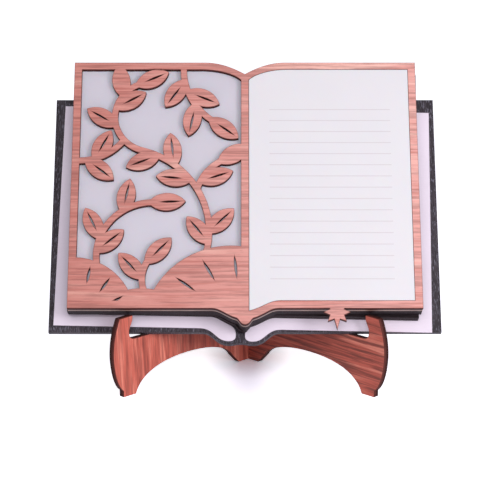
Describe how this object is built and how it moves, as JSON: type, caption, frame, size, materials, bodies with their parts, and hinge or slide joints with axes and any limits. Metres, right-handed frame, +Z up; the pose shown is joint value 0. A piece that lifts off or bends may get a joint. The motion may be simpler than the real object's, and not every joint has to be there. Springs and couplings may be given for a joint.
{
  "type": "book lamp",
  "caption": "Lamp shaped as an open book of flat wood and acrylic layers, lit from inside, leaning on a stand of two crossed planks.",
  "frame": {"origin": "on the floor under the middle of the crossing of the two stand planks", "axes": "+Z up; -Y towards the reader, whom the leaning pages face; +X to the reader's right, along the book's width"},
  "size_m": [0.3, 0.1761, 0.2413],
  "materials": {
    "plank_wood": "reddish veneered plywood, dark laser-cut edges",
    "page_wood": "pale reddish veneered plywood, dark laser-cut edges",
    "white_acrylic": "white acrylic, satin",
    "opal_acrylic": "opal acrylic, frosted",
    "black_wood": "black-stained plywood, cut edges",
    "white_board": "white plastic board, matte",
    "black_cover": "black-stained plywood with pale flecks in its grain",
    "led_strip": "white circuit board with lights",
    "wire_insulation": "red insulated wire",
    "black_plastic": "black moulded plastic",
    "zinc_steel": "zinc-plated steel",
    "rocker_plastic": "black moulded plastic, satin"
  },
  "bodies": {
    "stand_left": {"stand_plank_left": "plank_wood"},
    "stand_right": {"stand_plank_right": "plank_wood"},
    "book": {"front_plate": "page_wood", "right_page": "white_acrylic", "page_diffuser": "opal_acrylic", "frame_front": "black_wood", "frame_rear": "black_wood", "white_panel_left": "white_board", "white_panel_right": "white_board", "cover_plate": "black_cover", "led_strip_left_1": "led_strip", "led_strip_left_2": "led_strip", "led_strip_left_3": "led_strip", "led_strip_right_1": "led_strip", "led_strip_right_2": "led_strip", "led_strip_right_3": "led_strip", "strip_wires": "wire_insulation", "feed_wires": "wire_insulation", "power_socket": "black_plastic", "power_socket_nut": "zinc_steel", "switch_body": "black_plastic", "cover_screws": "zinc_steel"},
    "rocker": {"switch_rocker": "rocker_plastic"}
  },
  "joints": [
    {"name": "stand_lift", "type": "slide", "parent": "stand_left", "child": "stand_right", "axis": [0, 0, 1], "range_m": [0, 0.155]},
    {"name": "book_lift", "type": "slide", "parent": "stand_right", "child": "book", "axis": [0, 0.5358, 0.8443], "range_m": [0, 0.145]},
    {"name": "rocker_tilt", "type": "hinge", "parent": "book", "child": "rocker", "pos_m": [0.10195, -0.04247, 0.10804], "axis": [1, 0, 0], "range_deg": [0, 16]}
  ]
}
